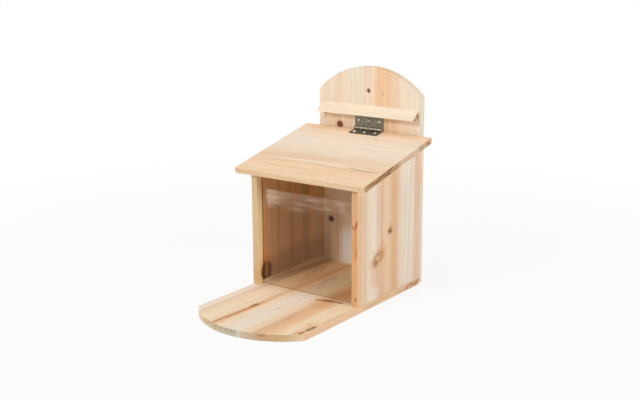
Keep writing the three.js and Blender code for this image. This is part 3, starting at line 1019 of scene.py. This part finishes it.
def make_lid():
    top = [
        # Cathedral grain near the front: a pale line over a dark one that closes in an arch at the right
        ((20, -128), (330, 7), "f8e7d2", 0.7, -2.2, 0.0004),
        ((76, -134), (84, 4.4), "cb9663", 0.8, -3, -0.0035),
        ((40, -136.5), (200, 3), AMBER, 0.6, -2, -0.0006),
        ((55, -141), (160, 5), ROSE, 0.6, -1),
        ((-40, -118), (260, 4), TAN, 0.8, 1),
        ((-10, -111), (220, 3), ROSE, 0.7, -2),
        ((-60, -137), (120, 3), AMBER, 0.5, 3, 0.0008),
        ((-50, -147), (160, 4), STRAW, 0.7, 1),
        ((-30, -153), (190, 3), AMBER, 0.5, -2),
        ((40, -161), (170, 3), TAN, 0.6, -1, 0.0003),
        ((-95, -160), (60, 4), STRAW, 0.7, 2),
        ((-72, -62), (80, 16), "eee6dc", 0.5, -15),
        ((58, -51), (64, 1.8), TAN, 0.5, -2),
        ((50, -98), (70, 12), ROSE, 0.4),
        ((-85, -8), (50, 20), ROSE, 0.5),
        ((0, -168), (200, 1.2), TAN, 0.4, 1),
    ]
    # End grain at the right: dark from the front corner to the middle, then peach, and red at the rear
    right = [
        ((-142, -7), (150, 24), "bd9868", 0.8),
        ((-114, -5), (24, 4), "7a4c2a", 0.8, 9),
        ((-122, -8.6), (22, 3.6), "7a4c2a", 0.7, -6),
        ((-136, -6), (26, 4), "7a4c2a", 0.7, 8),
        ((-150, -8), (30, 4), RESIN, 0.6, -5),
        ((-164, -5.6), (20, 4), RESIN, 0.5, 6),
        ((-98, -8), (20, 6), RESIN, 0.35, 12),
        ((-60, -7), (50, 16), BLUSH, 0.6),
        ((-28, -7), (26, 10), "a39a7c", 0.5),
        ((-11, -7), (18, 9), "b5674a", 0.6),
    ]
    material = wood_material(
        "wood_lid", X, Y, (-178, 4),
        [
            (-178, "f5d7b5"), (-158, "f5d7b5"), (-152, "f6cfa8"), (-146, "f6cfa8"), (-140, "f5d7b5"),
            (-135, STRAW), (-130, "edc9a8"), (-124, "f3d5b5"), (-106, "f1d6b8"), (-98, CREAM), (-87, CREAM),
            (-81, IVORY), (-39, IVORY), (-33, CREAM), (-21, "f3dabd"), (-9, "f3d4b2"), (4, "f3d2ae"),
        ],
        [-128, -88, -34], {"flat": top, "end": right}, seed=17, figure=0.16, waver=1.2,
        end=(0.8, 0.7, 0.59), edge=(0.97, 0.92, 0.86), in_lid=True,
    )
    board("lid_board", "lid", material)


def make_hinge(bronze, dull, zinc):
    """The hinge's leaves, pin and screws; the upper screws get a darker copy of the plating, as painted shade
    """
    in_lid = Matrix.Translation(PIN) @ Matrix.Rotation(LID_PITCH, 4, "X")
    upright = Matrix.Translation(PIN) @ Matrix.Rotation(-math.pi / 2, 4, "X")
    on_back = upright @ Matrix.Rotation(math.pi, 4, "Y")
    chance = random.Random(21)
    head = screw_shape()
    # The lower screws get the bright zinc, the upper ones a darker copy of it as painted shade
    leaves = (("lower", "lid", in_lid, 1, zinc), ("upper", "box", on_back, 0, dull))
    for name, body, matrix, first_knuckle, screw_plate_or_shaded_copy in leaves:
        leaf = leaf_shape(first_knuckle)
        leaf.transform(matrix)
        place_piece(f"hinge_leaf_{name}_plated", leaf, bronze, body, f"hinge_leaf_{name}")
        for i in range(len(SCREW_PLACES)):
            node = f"hinge_screw_{name}_{i + 1}"
            middle = sum(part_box(node), Vector()) / 2
            x = min(SCREW_PLACES, key=lambda x: abs((matrix @ Vector((x * MM, 0, 0))).x - middle.x))
            seat = Matrix.Translation(Vector((x, -SCREW_ROW, -BORE_RADIUS)) * MM)
            screw = head.copy()
            screw.transform(matrix @ seat @ Matrix.Rotation(chance.uniform(0, math.pi / 2), 4, "Z"))
            place_piece(f"{node}_zinc", screw, screw_plate_or_shaded_copy, body, node)
    head.free()
    pin = pin_shape()
    pin.transform(Matrix.Translation(PIN) @ Matrix.Rotation(math.pi / 2, 4, "Y"))
    place_piece("hinge_pin_zinc", pin, zinc, "box", "hinge_pin")


def make_nails(zinc):
    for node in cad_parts:
        if "nail" not in node:
            continue
        low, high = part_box(node)
        middle = (low + high) / 2
        if node.startswith("base_nail"):
            length, place, turn = high.z - low.z, (middle.x, middle.y, low.z), math.pi
        else:
            length, place, turn = high.y - low.y, (middle.x, high.y, middle.z), -math.pi / 2
        nail = nail_shape(length / MM)
        nail.transform(Matrix.Translation(place) @ Matrix.Rotation(turn, 4, "X"))
        place_piece(f"{node}_zinc", nail, zinc, "box", node)


def make_stage():
    """A pale floor, seen as almost white near the object, where it shows the shadow, and white further off"""
    half, drop, near, far, near_share = 14, 0.1 * MM, 0.3, 1.2, 0.87
    corners = [(x * half, y * half, -drop) for x, y in ((-1, -1), (1, -1), (1, 1), (-1, 1))]
    mesh = bpy.data.meshes.new("floor")
    mesh.from_pydata(corners, [], [range(len(corners))])
    nodes = Nodes(bpy.data.materials.new("floor"))
    away = nodes.length(nodes.node("TexCoord").outputs["Object"])
    white_share = nodes.times(nodes.seen(), nodes.smooth(away, near, far, near_share, 1))
    plain = nodes.made("BsdfDiffuse", {"Color": (0.8, 0.8, 0.8, 1)})
    white = nodes.made("Emission", {"Color": (1, 1, 1, 1)})
    mesh.materials.append(nodes.show(nodes.mix_shaders(white_share, plain, white)))
    floor = added("floor", mesh)


def make_world(strength):
    """Weak light from all sides, and a pale backdrop where the camera sees past the floor"""
    nodes = Nodes(bpy.data.worlds.new("studio"), "OutputWorld")
    light = nodes.made("Background", {"Strength": strength})
    backdrop = nodes.made("Background", {"Strength": 1})
    bpy.context.scene.world = nodes.show(nodes.mix_shaders(nodes.seen(), light, backdrop))


def softbox(name, place, size, power):
    light = bpy.data.lights.new(name, "AREA")
    light.shape = "SQUARE"
    light.size = size
    light.energy = power
    lamp = added(name, light)
    lamp.location = place
    target = Vector((0, 0, 0.12))
    lamp.rotation_euler = (target - Vector(place)).to_track_quat("-Z", "Y").to_euler()


def make_lights():
    make_world(0.17)
    softbox("top", (0, -0.5, 2.2), 1.8, 21)
    softbox("front", (-0.38, -1.81, 1.31), 0.4, 18)
    softbox("right", (2.3, -0.25, 0.75), 0.5, 22)
    softbox("rear", (0.3, 2.3, 0.3), 0.8, 30)
    softbox("left", (-2.3, -0.1, 0.25), 0.6, 30)


def make_camera():
    data = bpy.data.cameras.new("camera")
    data.lens = CAMERA_LENS
    data.sensor_width = CAMERA_SENSOR
    camera = added("camera", data)
    turn = Matrix.Rotation(CAMERA_YAW, 4, "Z")
    tilt = Matrix.Rotation(math.pi / 2 - CAMERA_PITCH, 4, "X")
    roll = Matrix.Rotation(CAMERA_ROLL, 4, "Z")
    camera.matrix_world = Matrix.Translation(CAMERA_PLACE) @ turn @ tilt @ roll
    bpy.context.scene.camera = camera


bpy.context.scene.view_settings.view_transform = "Standard"
make_camera()
make_lights()
make_stage()
make_base()
make_back()
make_sides()
make_strip()
make_lid()
# The bronze's lighter tone round the pin is wear and a painted highlight on the knuckles
bronze_plate = metal_material("bronze_plate", "969080", "423c30", 0.45, 0.85, 420, wear_and_highlight="c4bca8")
zinc_plate = metal_material("zinc_plate", "ebe8e2", "b5b0a6", 0.36, 0.5, 900)
# A darker copy of the screws' plating for the upper screws, which is painted shade
dull_plate = metal_material("dull_plate", "cfc7b6", "5d5548", 0.3, 0.8, 700)
make_hinge(bronze_plate, dull_plate, zinc_plate)
make_nails(zinc_plate)
board("front_pane", "pane", pane_material(), arris=PANE_ARRIS, suffix="sheet")
